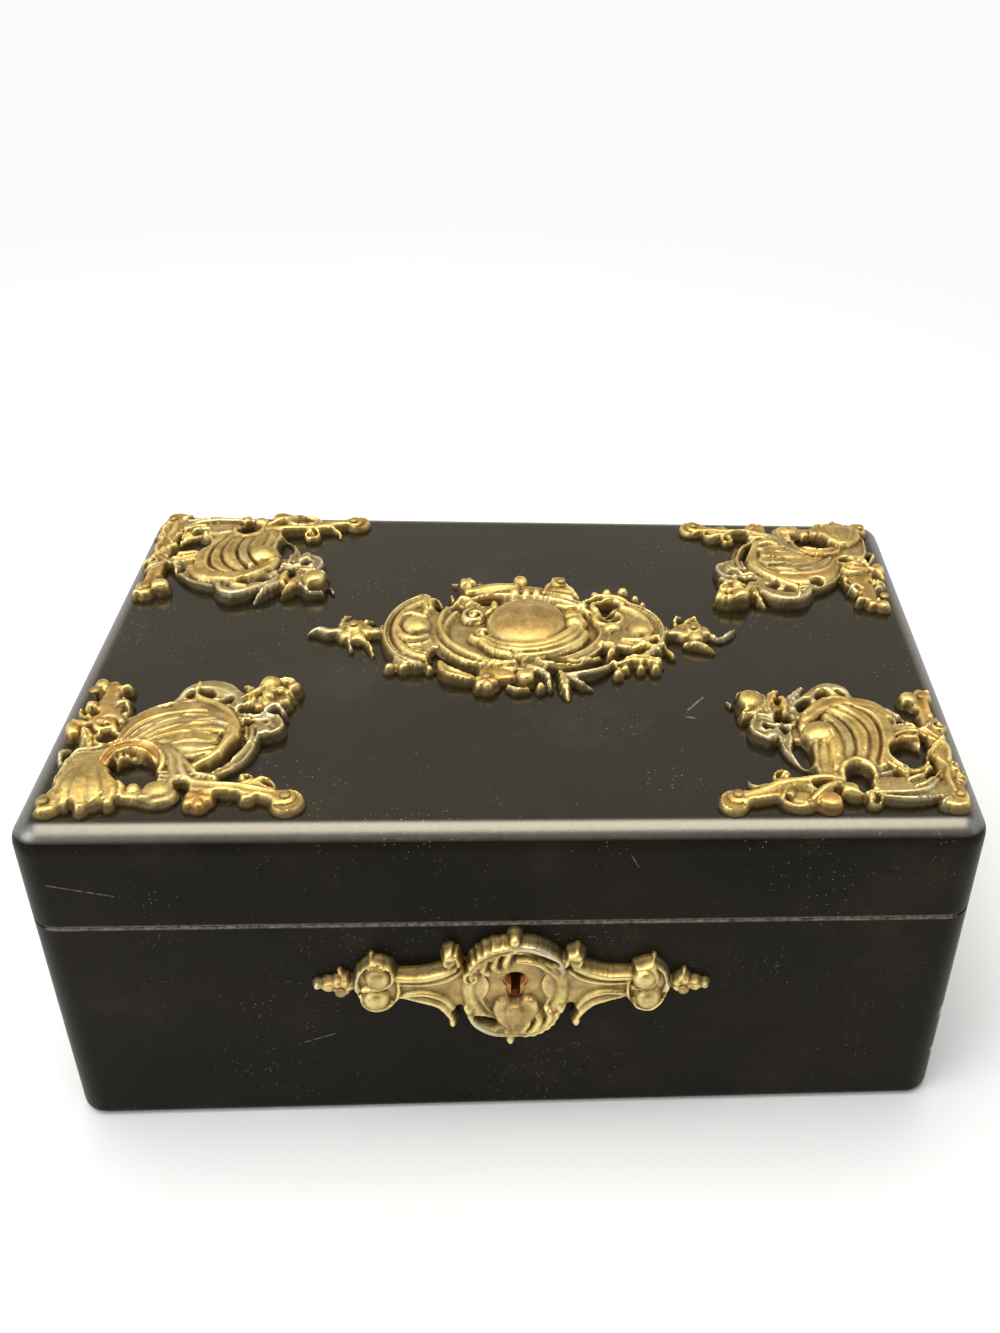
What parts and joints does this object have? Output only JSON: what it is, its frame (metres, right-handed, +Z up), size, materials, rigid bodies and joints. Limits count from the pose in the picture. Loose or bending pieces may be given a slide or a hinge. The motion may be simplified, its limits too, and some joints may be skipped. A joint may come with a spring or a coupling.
{
  "type": "jewelry casket",
  "caption": "Ebonised wood jewelry casket with a hinged lid, gilt brass mounts, a box lock behind a front keyhole and a velvet lining.",
  "frame": {"origin": "middle of the underside, on the surface the casket rests on", "axes": "+X to the casket's right along its length, +Y from the keyhole front to the hinged back, +Z up"},
  "size_m": [0.25, 0.166, 0.117],
  "materials": {
    "ebonised_wood": "polished black lacquer",
    "bottom_wood": "stained",
    "gilt_brass": "worn gilding",
    "lock_brass": "brushed",
    "steel": "aged",
    "velvet": "velvet",
    "satin": "padded satin"
  },
  "bodies": {
    "base": {"base_back_board": "ebonised_wood", "base_bottom_board": "bottom_wood", "base_front_board": "ebonised_wood", "base_hinge_screws": "steel", "base_left_board": "ebonised_wood", "base_lining_back": "velvet", "base_lining_front": "velvet", "base_lining_left": "velvet", "base_lining_right": "velvet", "base_right_board": "ebonised_wood", "escutcheon": "gilt_brass", "escutcheon_pins": "gilt_brass", "floor_pad": "satin", "hinge_left_lower_leaf": "lock_brass", "hinge_left_pin": "steel", "hinge_right_lower_leaf": "lock_brass", "hinge_right_pin": "steel", "lock_case": "lock_brass", "lock_plate": "lock_brass", "lock_screws": "steel", "lock_spring": "steel"},
    "lid": {"cartouche": "gilt_brass", "corner_mount_back_left": "gilt_brass", "corner_mount_back_right": "gilt_brass", "corner_mount_front_left": "gilt_brass", "corner_mount_front_right": "gilt_brass", "hinge_left_upper_leaf": "lock_brass", "hinge_right_upper_leaf": "lock_brass", "lid_back_rail": "ebonised_wood", "lid_front_rail": "ebonised_wood", "lid_hinge_screws": "steel", "lid_left_rail": "ebonised_wood", "lid_lining_back": "velvet", "lid_lining_front": "velvet", "lid_lining_left": "velvet", "lid_lining_right": "velvet", "lid_mount_pins": "gilt_brass", "lid_pad": "satin", "lid_right_rail": "ebonised_wood", "lid_top_panel": "ebonised_wood", "link_plate": "lock_brass", "link_plate_screws": "steel"},
    "lock_bolt": {"lock_bolt": "steel"}
  },
  "joints": [
    {"name": "lid_hinge", "type": "hinge", "parent": "base", "child": "lid", "pos_m": [0, 0.077, 0.077], "axis": [-1, 0, 0], "range_deg": [0, 94.5]},
    {"name": "bolt_slide", "type": "slide", "parent": "base", "child": "lock_bolt", "axis": [1, 0, 0], "range_m": [0, 0.005]}
  ]
}
